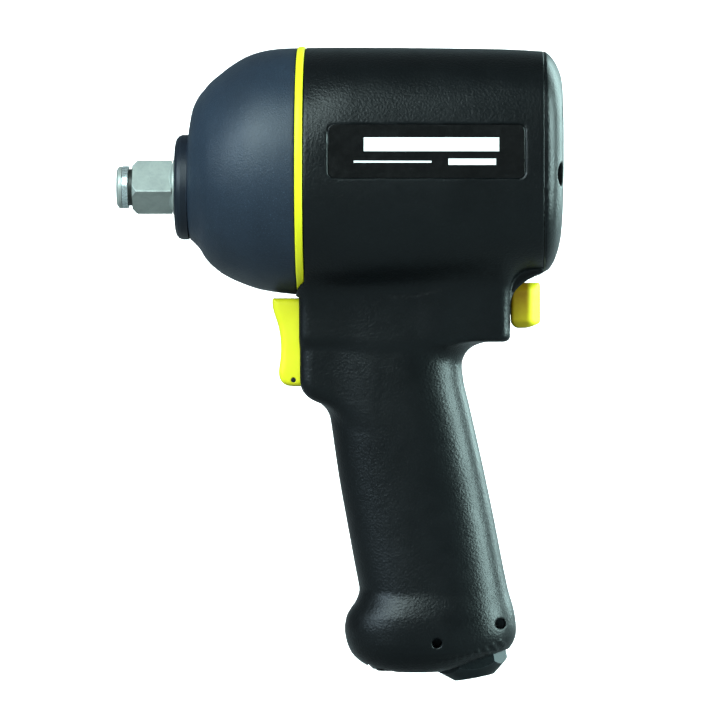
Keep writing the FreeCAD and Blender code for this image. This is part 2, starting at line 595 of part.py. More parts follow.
def knob_screw():
    screw = fuse(cyl_x(130.8, 136.4, 1.25, 0, REV_Z), cyl_x(136.2, 137.9, 2.8, 0, REV_Z))
    for y, z in [(3, 0.4), (0.4, 3)]:
        screw = screw.cut(box(137.2, 139, -y, y, REV_Z - z, REV_Z + z))
    return screw


save("reverse_valve_bushing", tube(98.0, 127.4, REV_BUSH_R, REV_BORE, 0, REV_Z).cut(fuse(
    cyl_y(-9, 9, PORT_R, PORT_X, REV_Z), cyl_z(REV_Z - 9, REV_Z, 4.0, 101.5),
    cyl_z(REV_Z, REV_Z + 9, 1.65, DETENT_X))))
save("reverse_valve", reverse_valve())
save("reverse_knob", reverse_knob())
save("knob_screw", knob_screw())
save("detent_ball", Part.makeSphere(1.5, V(DETENT_X, 0, REV_Z + 6.05)))
save("detent_spring", spring(1.1, 3.85, 1.05, 0.34, V(DETENT_X, 0, REV_Z + 7.95), 0.15))


# =============================================================== air inlet
def inlet_bushing():
    """Hexagon foot and bored stem, with grooves for the roll pins and O-ring."""
    chamfer = fuse(Part.makeCone(6.6, 11.9, 4.2, V(0, 0, -1.0)), cyl_z(3.2, 8.15, 11.9))
    foot = prism_z(hexagon(11.9, turn=10), -1.0, 8.15).common(chamfer)
    bushing = fuse(foot, cyl_z(8.0, STEM_TOP, STEM_R))
    bushing = bushing.cut(cyl_z(-2, 15.0, THREAD_R)).cut(cyl_z(14, 31, 7.6))
    bushing = bushing.cut(cyl_z(11.5, 16.9, 20).cut(cyl_z(10, 19, 8.15)))
    return bushing.cut(Part.makeTorus(10.75, 1.0, V(0, 0, ORING)))


def inlet_screen():
    """Cup with a grid of holes in its upper end."""
    cup = cyl_z(26.0, 29.6, 7.5).cut(cyl_z(25, 28.8, 6.9))
    for i in range(-2, 3):
        for j in range(-2, 3):
            if i * i + j * j <= 5:
                cup = cup.cut(cyl_z(28, 31, 0.9, i * 2.5, j * 2.5))
    return cup


def exhaust_cover():
    """Slotted plate trimmed to the underside of the base."""
    cover = box(82.4, 101.6, -9.0, 9.0, -157.6, -155.6)
    for i in range(5):
        cover = cover.cut(box(84.2 + 2.5 * i, 85.4 + 2.5 * i, -6.5, 6.5, -159, -155))
    cover = cover.cut(cyl_z(-159, -150, 1.65, EXHAUST_SCREW_X))
    return cover.cut(cyl_z(-158, -156.8, 2.7, EXHAUST_SCREW_X)).common(handle_base())


def exhaust_cover_screw():
    x = EXHAUST_SCREW_X
    screw = fuse(cyl_z(-156.9, -145.0, 1.25, x), cyl_z(-156.85, -155.7, 1.6, x),
                 cyl_z(-157.7, -156.85, 2.5, x))
    return screw.cut(box(x - 0.4, x + 0.4, -3, 3, -158.5, -157.3))


save("inlet_bushing", on_inlet(inlet_bushing()))
save("inlet_o_ring", on_inlet(Part.makeTorus(10.42, 0.52, V(0, 0, ORING))))
save("inlet_screen", on_inlet(inlet_screen()))
save("exhaust_cover", exhaust_cover())
save("exhaust_muffler", box(83.0, 96.6, -8.4, 8.4, -155.5, -153.5))
save("exhaust_cover_screw", exhaust_cover_screw())
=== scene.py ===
"""Impact wrench: shells, trigger, knob and valve spring, with materials and a studio.

The drive axis is y = z = 0, with the anvil at the front (low x) and the rear cover at high x;
the grip hangs down -z and the camera looks at the -y side.  Shapes are written in millimetres
in the frame and become metres when a mesh is made.  Each shell is a signed distance field,
negative inside, that is meshed on a grid.
"""
import bpy, bmesh, math, json
import numpy as np
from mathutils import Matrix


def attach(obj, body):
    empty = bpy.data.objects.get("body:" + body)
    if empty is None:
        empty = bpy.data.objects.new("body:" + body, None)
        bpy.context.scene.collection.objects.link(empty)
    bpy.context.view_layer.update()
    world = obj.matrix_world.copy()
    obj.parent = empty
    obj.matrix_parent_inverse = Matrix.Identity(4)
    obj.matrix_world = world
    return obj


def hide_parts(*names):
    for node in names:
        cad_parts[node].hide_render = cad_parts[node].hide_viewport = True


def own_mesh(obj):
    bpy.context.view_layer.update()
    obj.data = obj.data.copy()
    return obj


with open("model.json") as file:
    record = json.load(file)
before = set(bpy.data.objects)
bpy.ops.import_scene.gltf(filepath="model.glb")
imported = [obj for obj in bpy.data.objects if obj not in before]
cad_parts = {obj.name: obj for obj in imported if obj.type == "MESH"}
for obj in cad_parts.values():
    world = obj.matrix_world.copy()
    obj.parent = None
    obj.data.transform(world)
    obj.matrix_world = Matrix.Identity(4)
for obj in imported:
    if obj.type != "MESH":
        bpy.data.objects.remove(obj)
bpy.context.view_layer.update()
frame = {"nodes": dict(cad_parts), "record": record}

nodes = frame["nodes"]
MM = 0.001

# Planes across x where the shells meet
CASE_FRONT = 23.5
RING_FRONT = 59.2
RING_REAR = 61.8
HOUSING_REAR = 139.2
COVER_FRONT = 139.6

# Half-outline of the rear seam, shared by the cover and its lip
SEAM_TOP, SEAM_BOTTOM, SEAM_HALF = 43.9, -27.7, 36.7

BOLTS = [(22.5, 21.5), (-22.5, 21.5), (29.2, 3.0), (-29.2, 3.0)]   # y, z
BOLT_CLEARANCE = 2.25      # hole radius
TRIGGER_HALF = 7.6         # half-width in y
ROD_Z = -51.5              # axis of the trigger's rod
REVERSE_Z = -38.7          # axis of the reverse valve
LABEL_X, LABEL_Z = 101.4, 10.1
LABEL_HALF_X, LABEL_HALF_Z = 31.4, 8.5

# Raked air inlet: its lowest point on the axis, and its lean from the vertical
INLET_X, INLET_Z = 116.6, -159.0
TILT = math.radians(10.7)
SIN, COS = math.sin(TILT), math.cos(TILT)


# ------------------------------------------------------------ curves and fields
class Curve:
    """Monotone cubic through (x, y) points, clamped at the ends."""
    def __init__(self, points):
        self.x = np.array([p[0] for p in points], float)
        self.y = np.array([p[1] for p in points], float)
        gap = np.diff(self.x)
        slope = np.diff(self.y) / gap
        tangent = np.zeros(len(self.x))
        for i in range(1, len(self.x) - 1):
            if slope[i - 1] * slope[i] > 0:
                before, after = 2 * gap[i] + gap[i - 1], gap[i] + 2 * gap[i - 1]
                tangent[i] = (before + after) / (before / slope[i - 1] + after / slope[i])
        tangent[0], tangent[-1] = slope[0], slope[-1]
        self.tangent = tangent

    def __call__(self, at):
        at = np.clip(at, self.x[0], self.x[-1])
        i = np.clip(np.searchsorted(self.x, at, "right") - 1, 0, len(self.x) - 2)
        gap = self.x[i + 1] - self.x[i]
        t = (at - self.x[i]) / gap
        t2, t3 = t * t, t * t * t
        return ((2 * t3 - 3 * t2 + 1) * self.y[i] + (t3 - 2 * t2 + t) * gap * self.tangent[i]
                + (3 * t2 - 2 * t3) * self.y[i + 1]
                + (t3 - t2) * gap * self.tangent[i + 1]).astype(np.float32)


def curves(rows):
    """One curve per column after the first, which holds the stations."""
    rows = sorted(rows)
    return [Curve([(row[0], row[i]) for row in rows]) for i in range(1, len(rows[0]))]


def join(first, second, soft):
    """Union with a fillet of size soft."""
    share = np.clip(0.5 + 0.5 * (second - first) / soft, 0, 1)
    return second + (first - second) * share - soft * share * (1 - share)


def meet(first, second, soft=0.0):
    """Intersection, with its edge rounded if soft is given."""
    if not soft:
        return np.maximum(first, second)
    return -join(-first, -second, soft)


def cut(shape, tool, soft=0.0):
    return meet(shape, -tool, soft)


def ramp(value, start, length):
    return np.clip((value - start) / length, 0, 1)


def slab(value, low, high):
    return np.maximum(low - value, value - high)


def superellipse(along, across, centre, half_along, half_across, power):
    """Radial distance to a rounded outline; capped near its centre."""
    core = 0.12
    along, across = np.abs(along - centre), np.abs(across)
    level = ((along / half_along) ** power + (across / half_across) ** power) ** (1.0 / power)
    radius = np.sqrt(along * along + across * across)
    return np.where(level < core, -0.85 * np.minimum(half_along, half_across),
                    radius * (1 - 1 / np.maximum(level, core)))


def outline(along, across, low, high, half, power):
    """Superellipse from low to high in one direction, and +-half in the other."""
    return superellipse(along, across, (high + low) / 2, (high - low) / 2, half, power)


def rounded_box(u, v, half_u, half_v, corner):
    u, v = np.abs(u) - half_u + corner, np.abs(v) - half_v + corner
    outer = np.sqrt(np.maximum(u, 0) ** 2 + np.maximum(v, 0) ** 2)
    return outer + np.minimum(np.maximum(u, v), 0) - corner


def rod(pos, start, end, radius, y=0.0, z=0.0):
    """Cylinder along x."""
    radial = np.sqrt((pos[1] - y) ** 2 + (pos[2] - z) ** 2) - radius
    return np.maximum(radial, slab(pos[0], start, end))


def cut_bolts(shape, pos, start, end, radius=BOLT_CLEARANCE):
    for y, z in BOLTS:
        shape = cut(shape, rod(pos, start, end, radius, y, z))
    return shape


def polygon(x, z, points):
    """Signed distance in the xz plane to a closed polygon."""
    x, z = np.broadcast_arrays(x, z)
    nearest = np.full(x.shape, 1e9, np.float32)
    inside = np.zeros(x.shape, bool)
    for (ax, az), (bx, bz) in zip(points, points[1:] + points[:1]):
        edge_x, edge_z = bx - ax, bz - az
        to_x, to_z = x - ax, z - az
        t = (to_x * edge_x + to_z * edge_z) / (edge_x * edge_x + edge_z * edge_z + 1e-12)
        t = np.clip(t, 0, 1)
        nearest = np.minimum(nearest, (to_x - edge_x * t) ** 2 + (to_z - edge_z * t) ** 2)
        crosses = (az > z) != (bz > z)
        rise = edge_z if abs(edge_z) > 1e-12 else 1e-12
        inside ^= crosses & (x < edge_x * (z - az) / rise + ax)
    nearest = np.sqrt(nearest)
    return np.where(inside, -nearest, nearest)


# --------------------------------------------------------------------- meshing
BAND = 40.0     # height of the z bands that a field is worked out in


def surface_net(field, origin, cell):
    """Closed quad mesh of field = 0 on a regular grid."""
    inside = field < 0
    nx, ny, nz = (n - 1 for n in field.shape)
    count = np.zeros((nx, ny, nz), np.uint8)
    for i, j, k in np.ndindex(2, 2, 2):
        count += inside[i:nx + i, j:ny + j, k:nz + k]
    active = (count > 0) & (count < 8)
    index = np.argwhere(active)
    cell_id = np.full(active.shape, -1, np.int64)
    cell_id[active] = np.arange(len(index))
    corner = {c: field[tuple((index + c).T)].astype(np.float64) for c in np.ndindex(2, 2, 2)}

    # each vertex is the mean of the crossings on its cell's twelve edges
    total = np.zeros((len(index), 3))
    hits = np.zeros(len(index))
    for axis, i, j in np.ndindex(3, 2, 2):
        start = [i, j]
        start.insert(axis, 0)
        end = [i, j]
        end.insert(axis, 1)
        at_start, at_end = corner[tuple(start)], corner[tuple(end)]
        crossed = (at_start < 0) != (at_end < 0)
        t = np.where(crossed, at_start / np.where(crossed, at_start - at_end, 1), 0)
        point = np.tile(np.array(start, float), (len(index), 1))
        point[:, axis] += t
        total[crossed] += point[crossed]
        hits[crossed] += 1
    verts = (index + total / hits[:, None]) * cell + np.array(origin)

    # each crossed grid edge gives one quad through the four cells round it
    quads = []
    for axis in range(3):
        others = [n for n in range(3) if n != axis]
        near, far = [slice(1, -1)] * 3, [slice(1, -1)] * 3
        near[axis], far[axis] = slice(0, -1), slice(1, None)
        near, far = inside[tuple(near)], inside[tuple(far)]
        edges = np.argwhere(near != far)
        ring = []
        for i, j in ((0, 0), (1, 0), (1, 1), (0, 1)):
            cells = edges.copy()
            cells[:, others[0]] += i
            cells[:, others[1]] += j
            ring.append(cell_id[tuple(cells.T)])
        ring = np.stack(ring, 1)
        reverse = near[tuple(edges.T)] == (axis == 1)
        ring[reverse] = ring[reverse][:, ::-1]
        quads.append(ring)
    return verts, np.concatenate(quads)


def sample(shape, points):
    """Field values at points, worked out in bands of z."""
    values = np.empty(len(points))
    height = points[:, 2]
    bands = max(1, int((height.max() - height.min()) / BAND))
    for band in np.array_split(np.argsort(height), bands):
        values[band] = shape(points[band].T)
    return values


def limit(vectors, longest):
    length = np.sqrt((vectors ** 2).sum(1))
    return vectors * np.minimum(1, longest / np.maximum(length, 1e-9))[:, None]


def project(shape, start, cell):
    """Pull vertices onto the surface along the gradient."""
    probe = 0.06 * cell
    points = start.astype(np.float64)
    for _ in range(3):
        value = sample(shape, points)
        gradient = np.stack([sample(shape, points + shift) - sample(shape, points - shift)
                             for shift in np.eye(3) * probe], 1) / (2 * probe)
        steepness = np.maximum((gradient * gradient).sum(1), 0.05)
        points = points + limit(-(value / steepness)[:, None] * gradient, 0.35 * cell)
        points = start + limit(points - start, 0.7 * cell)
    return points


def add_object(name, data):
    ob = bpy.data.objects.new(name, data)
    bpy.context.scene.collection.objects.link(ob)
    return ob


def face_outward(mesh):
    edit = bmesh.new()
    edit.from_mesh(mesh)
    bmesh.ops.recalc_face_normals(edit, faces=edit.faces)
    edit.to_mesh(mesh)
    edit.free()


def quad_object(name, verts, quads, smooth=True):
    mesh = bpy.data.meshes.new(name)
    verts = np.asarray(verts, np.float64) * MM
    mesh.vertices.add(len(verts))
    mesh.vertices.foreach_set("co", verts.astype(np.float32).ravel())
    quads = np.asarray(quads, np.int32)
    mesh.loops.add(quads.size)
    mesh.loops.foreach_set("vertex_index", quads.ravel())
    mesh.polygons.add(len(quads))
    mesh.polygons.foreach_set("loop_start", np.arange(0, quads.size, 4, dtype=np.int32))
    mesh.polygons.foreach_set("loop_total", np.full(len(quads), 4, np.int32))
    mesh.update(calc_edges=True)
    mesh.validate()
    mesh.polygons.foreach_set("use_smooth", np.full(len(mesh.polygons), smooth))
    face_outward(mesh)
    return add_object(name, mesh)


def shell(name, shape, low, high, cells, piece, body="housing"):
    """Mesh a field within low..high and put it in place of a CAD piece.
    """
    cell = cells[1]
    xs, ys, zs = (np.arange(a - 2 * cell, b + 3 * cell, cell, dtype=np.float32)
                  for a, b in zip(low, high))
    field = np.empty((len(xs), len(ys), len(zs)), np.float32)
    step = max(8, int(BAND / cell))
    for k in range(0, len(zs), step):
        pos = xs[:, None, None], ys[None, :, None], zs[None, None, k:k + step]
        field[:, :, k:k + step] = shape(pos)
    field[field == 0] = -1e-6
    verts, quads = surface_net(field, (xs[0], ys[0], zs[0]), cell)
    ob = quad_object(name, project(shape, verts, cell), quads)
    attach(ob, body)
    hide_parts(piece)
    return ob


# --------------------------------------------------------------- motor housing
# Barrel section along x: top and bottom z, half-width, and superellipse power
TOP = Curve([(59.2, 45.35), (61.8, 45.4), (80, 45.3), (100, 45.1), (125, 44.7), (132, 44.4),
             (139.6, 43.9)])
BOTTOM = Curve([(59.2, -35.15), (61.8, -35.1), (80, -34.2), (100, -32.6), (125, -29.6),
                (139.6, -27.7)])
SIDE_TABLE = [(59.2, 39.9), (61.8, 39.9), (80, 39.3), (125, 37.4), (139.6, 36.7)]
SIDE = Curve(SIDE_TABLE)
SQUARENESS = Curve([(59.2, 2.2), (61.8, 2.25), (78, 2.75), (139.6, 2.9)])

NECK_HALF = Curve([(-52, 16.4), (-49, 16.6), (-42, 17.2), (-33, 19.0), (-24, 22.5),
                   (-8, 24.0)])     # z, half-width
# Grip and its foot: z, front x, rear x, half-width
GRIP = curves([
    (-40, 67.4, 118.5, 17.0), (-46, 67.4, 116.4, 17.1), (-50, 67.5, 114.6, 17.2),
    (-54, 67.7, 113.2, 17.3), (-58, 68.0, 112.7, 17.4), (-63, 68.4, 113.2, 17.5),
    (-70, 69.0, 114.8, 17.5), (-80, 70.4, 117.1, 17.5), (-95, 72.6, 120.4, 17.6),
    (-110, 75.3, 123.5, 18.0), (-122, 77.5, 125.8, 18.5), (-133, 79.6, 128.0, 19.2),
    (-141, 81.0, 129.4, 19.6), (-146, 82.0, 129.6, 19.4), (-150, 84.0, 127.8, 18.5)])
FOOT = curves([
    (-129, 84.0, 124.0, 14.0), (-132.5, 80.2, 126.0, 17.0), (-135, 78.3, 127.4, 18.8),
    (-137.6, 76.3, 128.4, 20.0), (-140.5, 74.9, 129.1, 20.8), (-144, 74.4, 129.6, 21.1),
    (-148, 75.0, 128.6, 20.9), (-151.5, 76.4, 126.0, 20.0), (-154.4, 79.0, 120.0, 18.2),
    (-156.6, 83.0, 113.5, 15.4), (-158.0, 88.6, 106.5, 11.5)])
# Web under the rear of the barrel: x, z
WEB = [(118, -38), (128.4, -38), (128.8, -36.4), (129.6, -34.6), (130.9, -33), (132.6, -31.5),
       (134.5, -30.1), (136.5, -29.1), (138.4, -28.4), (139.2, -28.0), (139.2, -20), (118, -20)]
WEB_HALF = 15.2
FAR = 60.0      # field value where nothing has been built


def inlet_frame(pos):
    """Offset to the rear of the inlet axis, distance up it, and radius from it."""
    x, y, z = pos
    dx, dz = x - INLET_X, z - INLET_Z
    offset = dx * COS + dz * SIN
    return offset, dx * -SIN + dz * COS, np.sqrt(offset * offset + y * y)


def inlet_point(offset, height):
    """x and z of a point given in the inlet's own frame."""
    return INLET_X + offset * COS - height * SIN, INLET_Z + offset * SIN + height * COS


def body_outline(pos, grow=0.0, power=None):
    x, y, z = pos
    if power is None:
        power = SQUARENESS(x)
    return outline(z, y, BOTTOM(x) - grow, TOP(x) + grow, SIDE(x) + grow, power)


def column(pos, stations, power, low, high):
    x, y, z = pos
    front, rear, half = (curve(z) for curve in stations)
    return np.maximum(outline(x, y, front, rear, half, power), slab(z, low, high))


def neck(pos):
    """Block that joins the barrel to the grip."""
    x, y, z = pos
    block = rounded_box(x - 94.1, y, half_u=34.3, half_v=NECK_HALF(z), corner=3.8)
    return meet(meet(block, -50.6 - z, 2.4), z + 6)


def add_trigger_mount(shape, pos):
    """Block round the trigger, with a sloping underside and a flat front face."""
    x, y, z = pos
    middle, half_length = 73.8, 14.0
    half_width = 15.6 - 0.03 * np.maximum(-45 - z, 0)
    block = rounded_box(x - middle, y, half_length, half_width, corner=5.0)
    block = meet(block, (-68.6 - (x - RING_REAR) * 0.42 - z) * 0.92, 5.5)
    block = meet(block, z + 34)
    shape = join(shape, block, 3.2)
    return np.where(z < -36, meet(shape, middle - half_length - x, 1.2), shape)


def add_foot(shape, pos):
    """Foot of the grip, with the boss and socket for the inlet bushing."""
    x, y, z = pos
    shape = join(shape, column(pos, FOOT, 2.35, -157.9, -129), 3.4)
    offset, height, radius = inlet_frame(pos)
    mouth = 8.2
    boss = meet(meet(radius - 13.5, mouth - height, 1.6), height - 34)
    shape = join(shape, boss, 2.0)
    shape = cut(shape, np.maximum(radius - 12.7, height - mouth), 0.5)
    shape = cut(shape, np.maximum(radius - 11.0, slab(height, 0, 30.2)), 0.3)
    # pin holes along y, one each side of the axis
    for pin_offset, pin_height in ((11.5, 15.2), (-9.7, 13.2)):
        pin = np.sqrt((offset - pin_offset) ** 2 + (height - pin_height) ** 2) - 1.62
        shape = cut(shape, pin, 0.35)
    # shallow recess in the underside
    recess = rounded_box(x - 92.0, y, half_u=9.8, half_v=9.2, corner=1.2)
    return cut(shape, np.maximum(recess, z + 153.4), 0.3)


def cut_air_ways(shape, pos):
    x, y, z = pos
    _, height, radius = inlet_frame(pos)
    for bore, start, end in ((8.2, 28, 84.02), (7.6, 80, 117.5)):
        shape = cut(shape, np.maximum(radius - bore, slab(height, start, end)))
    # exhaust duct, leaning forward as it rises
    axis_x = 91.0 - 11.0 * ((z + 158) / 84.0)
    duct = np.sqrt((x - axis_x) ** 2 + y * y) - 5.4
    return cut(shape, np.maximum(duct, slab(z, -159, -68)))


def reverse_room(pos):
    """Round room for the reverse knob, open to the rear."""
    x, y, z = pos
    radial = np.sqrt(y * y + (z - REVERSE_Z) ** 2) - 11.2
    return np.maximum(np.maximum(radial, 128.5 - x), z + 28.85)


def reverse_bore(pos):
    return rod(pos, 97.5, 131, 7.05, z=REVERSE_Z)


def cut_trigger_room(shape, pos):
    x, y, z = pos
    pocket = rounded_box(y, z + 50.7, TRIGGER_HALF + 0.25, half_v=14.8, corner=1.0)
    shape = cut(shape, np.maximum(pocket, x - 70.6), 0.7)
    shape = cut(shape, rod(pos, 70, 95, 1.75, z=ROD_Z))
    shape = cut(shape, rod(pos, 75, 97, 4.05, z=ROD_Z))
    shape = cut(shape, reverse_bore(pos))
    return cut(shape, reverse_room(pos), 0.6)


def cut_motor_bore(shape, pos):
    shape = cut(shape, rod(pos, 50, 120.02, 26.5))
    return cut(shape, rod(pos, 119, 142, 22.0))


def label_recess(pos):
    """Shallow flat-floored recess in the -y side."""
    x, y, z = pos
    gap, depth = 0.15, 1.05
    front, length = LABEL_X - LABEL_HALF_X, 2 * LABEL_HALF_X
    at_front, at_rear = (float(np.interp(end, *zip(*SIDE_TABLE)))
                         for end in (front, front + length))
    side = at_front + (at_rear - at_front) * (x - front) / length
    area = rounded_box(x - LABEL_X, z - LABEL_Z, LABEL_HALF_X + gap, LABEL_HALF_Z + gap,
                       corner=2.0 + gap)
    return np.maximum(area, y + side - depth)


def raise_ticks(shape, pos):
    """Row of nine raised marks that curves up the -y side of the foot."""
    x, y, z = pos
    height, edge = 0.34, 0.5
    for i in range(9):
        t = i / 8
        dx, dz = x - (105.6 + 20.2 * t), z - (-155.0 + 6.6 * t ** 1.5)
        lean = 0.15 + 0.55 * t
        u = dx * math.cos(lean) + dz * math.sin(lean)
        v = -dx * math.sin(lean) + dz * math.cos(lean)
        mark = rounded_box(u, v, half_u=0.62, half_v=1.45, corner=0.3)
        shape = shape - height * np.clip(0.5 - mark / edge, 0, 1) * (y < 0)
    return shape


def rear_web(pos):
    x, y, z = pos
    web = np.maximum(np.maximum(polygon(x, z, WEB), np.abs(y) - WEB_HALF), x - HOUSING_REAR)
    web = cut(web, reverse_room(pos))
    return cut(cut_motor_bore(web, pos), reverse_bore(pos))


def housing(pos):
    """Whole housing; each feature is worked out only in the z bands that it reaches."""
    x, y, z = pos
    bottom, top = float(np.min(z)), float(np.max(z))
    shape = (x + y + z) * 0 + FAR
    if top > -48:
        barrel = meet(body_outline(pos), RING_REAR - x, 0.7)
        shape = meet(barrel, x - HOUSING_REAR, 0.5)
    if top > -62 and bottom < 0:
        shape = join(shape, neck(pos), 4.5 + 2.5 * ramp(x, 112, 14))
    if top > -82 and bottom < -30:
        shape = add_trigger_mount(shape, pos)
    if bottom < -38:
        grip = column(pos, GRIP, 2.45, -150, -38)
        shape = join(shape, grip, 4.0 + 4.0 * ramp(x, 98, 10))
    if bottom < -120:
        shape = add_foot(shape, pos)
    if bottom < -30:
        shape = cut_air_ways(shape, pos)
    if top > -72 and bottom < -25:
        shape = cut_trigger_room(shape, pos)
    if top > -40:
        # keep clear of the accent ring
        ring = body_outline((x * 0 + 60.5, y, z), grow=0.5, power=2.23)
        shape = cut(shape, np.maximum(ring, x - RING_REAR))
        shape = cut_motor_bore(shape, pos)
        shape = cut_bolts(shape, pos, 50, 142)
    if top > -3 and bottom < 22:
        shape = cut(shape, label_recess(pos), 0.25)
    if bottom < -140:
        shape = raise_ticks(shape, pos)
    if top > -44 and bottom < -15:
        shape = join(shape, rear_web(pos), 0.6)
    return shape


housing_ob = shell("motor_housing_shell", housing, (59, -42, -159.2), (139.6, 42, 46),
                   (1.0, 0.62), "motor_housing")

# ----------------------------------------------------------------- hammer case
# x against the height of the section's centre, and against its radius
CASE_CENTRE = Curve([(23.5, 0.8), (25, 4.0), (27.1, 4.9), (29.1, 4.5), (33.7, 4.5), (36.9, 4.8),
                     (43.5, 5.3), (50, 5.35), (59.2, 5.1)])
CASE_RADIUS = Curve([(23.5, 17.9), (25, 22.0), (27.1, 25.2), (29.1, 28.0), (30.4, 29.5),
                     (33.7, 32.3), (36.9, 34.5), (40.2, 36.3), (43.5, 37.75), (46.7, 38.75),
                     (50, 39.4), (53.3, 39.85), (56.5, 40.1), (59.2, 40.25)])


def hammer_case(pos):
    x, y, z = pos
    radius = CASE_RADIUS(x)
    rearward = ramp(x, CASE_FRONT, RING_FRONT - CASE_FRONT)
    shape = superellipse(z, y, CASE_CENTRE(x), radius, radius * (1 - 0.009 * rearward),
                         2.0 + 0.2 * rearward * rearward)
    slope = (CASE_RADIUS(x + 0.4) - CASE_RADIUS(x - 0.4)) / 0.8
    shape = shape / np.sqrt(1 + slope * slope)
    shape = meet(shape, CASE_FRONT - x, 0.9)
    shape = meet(shape, x - RING_FRONT)
    # collar at the nose and spigot at the rear
    shape = np.minimum(shape, rod(pos, 20.8, 24.5, 12.5))
    shape = np.minimum(shape, rod(pos, 56, 66, 26.38))
    # nose bore and the step behind it
    shape = cut(shape, rod(pos, 15, 40, 11.0))
    shape = cut(shape, rod(pos, 32.2, 36, 17.0))
    # main cavity, with a coned front
    front = 34.3
    radial = np.sqrt(y * y + z * z)
    cone = (radial - 22.6 - (x - front) * 1.13) * 0.66
    shape = cut(shape, np.maximum(np.maximum(radial - 25.2, front - x), cone))
    return cut_bolts(shape, pos, 45.5, 62, radius=2.05)


case_ob = shell("hammer_case_shell", hammer_case, (20.5, -41, -36), (66.3, 41, 46),
                (1.0, 0.5), "hammer_case")


# ----------------------------------------------------------------- accent ring
def accent_ring(pos):
    """Band that stands proud of the barrel and is crowned along x."""
    x = pos[0]
    proud = 0.25 + 0.22 * (1 - ((x - 60.45) / 1.25) ** 2)
    shape = meet(body_outline(pos, proud), slab(x, 59.22, 61.7), 0.5)
    shape = cut(shape, rod(pos, 50, 70, 26.45))
    return cut_bolts(shape, pos, 50, 70)


ring_ob = shell("accent_ring_band", accent_ring, (59, -41, -36.5), (62, 41, 46.5),
                (0.5, 0.32), "accent_ring")

# ------------------------------------------------------------------ rear cover
# x, top z, bottom z
COVER_TOP, COVER_BOTTOM = curves([
    (COVER_FRONT, SEAM_TOP, SEAM_BOTTOM), (140.6, 43.2, -27.2), (142.2, 41.5, -25.3),
    (143.8, 38.7, -21.4), (144.8, 36, -17), (145.4, 33.2, -11.5), (145.8, 29.5, -4.5)])


def rear_cover(pos):
    x, y, z = pos
    top, bottom = COVER_TOP(x), COVER_BOTTOM(x)
    shrink = (top - bottom) / 2 / ((SEAM_TOP - SEAM_BOTTOM) / 2)
    shape = outline(z, y, bottom, top, SEAM_HALF * shrink ** 0.72, 2.9)
    slope = (COVER_TOP(x + 0.2) - COVER_TOP(x - 0.2)
             - COVER_BOTTOM(x + 0.2) + COVER_BOTTOM(x - 0.2)) / 0.8
    shape = shape / np.sqrt(1 + slope * slope)
    shape = meet(shape, x - 145.75, 1.2)
    shape = meet(shape, COVER_FRONT - x)
    # spigot, and the hollow that runs through it into the cover
    shape = np.minimum(shape, rod(pos, 134.5, 140.5, 21.94))
    for start, end in ((130, 140.6), (139, 142.2)):
        shape = cut(shape, rod(pos, start, end, 19.6))
    # bolt holes and the wider rounds for their heads
    for bolt_y, bolt_z in BOLTS:
        shape = cut(shape, rod(pos, 130, 150, BOLT_CLEARANCE, bolt_y, bolt_z))
        shape = cut(shape, rod(pos, 140.9, 150, 3.8, bolt_y, bolt_z), 0.4)
    return shape


cover_ob = shell("rear_cover_shell", rear_cover, (134.3, -38, -29), (146.2, 38, 45),
                 (1.0, 0.42), "rear_cover")


# --------------------------------------------------------------------- trigger
def round_corners(points, passes):
    """Chaikin corner cutting that keeps both ends."""
    points = [np.array(p, float) for p in points]
    for _ in range(passes):
        finer = [points[0]]
        for a, b in zip(points, points[1:]):
            finer += [a * 0.75 + b * 0.25, a * 0.25 + b * 0.75]
        points = finer + [points[-1]]
    return [(float(a), float(b)) for a, b in points]


# Side view of the trigger: x, z from the top, down the finger face, to the underside
TRIGGER_FACE = [
    (51.2, -36.3), (50.85, -36.9), (51.0, -39.5), (51.8, -42.2), (52.8, -45.0), (53.5, -48.5),
    (53.75, -52.0), (53.6, -56.0), (53.1, -59.0), (52.95, -61.4), (53.9, -63.8), (55.6, -64.9),
    (57.6, -65.1)]
TRIGGER_SIDE = [(64.0, -36.3)] + round_corners(TRIGGER_FACE, passes=2) + [(64.0, -65.1)]


def trigger(pos):
    x, y, z = pos
    shape = meet(polygon(x, z, TRIGGER_SIDE), np.abs(y) - TRIGGER_HALF, 2.6)
    shape = join(shape, rod(pos, 62, 65.3, 4.0, z=ROD_Z), 0.6)
    # hole along y near the lower end, and the rod's hole in the boss
    shape = cut(shape, np.sqrt((x - 57.9) ** 2 + (z + 63.0) ** 2) - 0.82)
    return cut(shape, rod(pos, 64.5, 70, 1.65, z=ROD_Z))


trigger_ob = shell("trigger_button", trigger, (50.4, -8, -65.6), (67.4, 8, -36),
                   (0.5, 0.26), "trigger", body="trigger")


# ---------------------------------------------------------------- reverse knob
def reverse_knob(pos):
    x, y, z = pos[0], np.abs(pos[1]), pos[2] - REVERSE_Z
    half_width, half_height = 9.5, 7.35
    front, rear = 128.7, 138.2
    shape = np.maximum(y - half_width, np.abs(z) - half_height)
    chamfer = (y + np.abs(z) - (half_width + half_height) + 2.2) * 0.7071
    shape = meet(shape, chamfer, 0.5)
    shape = meet(shape, slab(x, front, rear), 1.0)
    # cheeks slope in to the rear face, the underside rises to the rear and to the front
    shape = meet(shape, (y * 3.5 + (x - rear) * 2.6 - 6.9 * 3.5) / 4.36, 0.9)
    shape = meet(shape, (-z - 7.2 + (x - 134.9) * 0.4545) * 0.91, 0.8)
    shape = meet(shape, (-z - 5.7 - (x - front) * 1.03) * 0.7, 0.6)
    return cut(shape, rod(pos, 136.2, 140, 3.0, z=REVERSE_Z), 0.35)


knob_ob = shell("reverse_knob_shell", reverse_knob, (128.5, -9.7, -46.3), (138.5, 9.7, -31),
                (0.5, 0.24), "reverse_knob", body="reverse_valve")


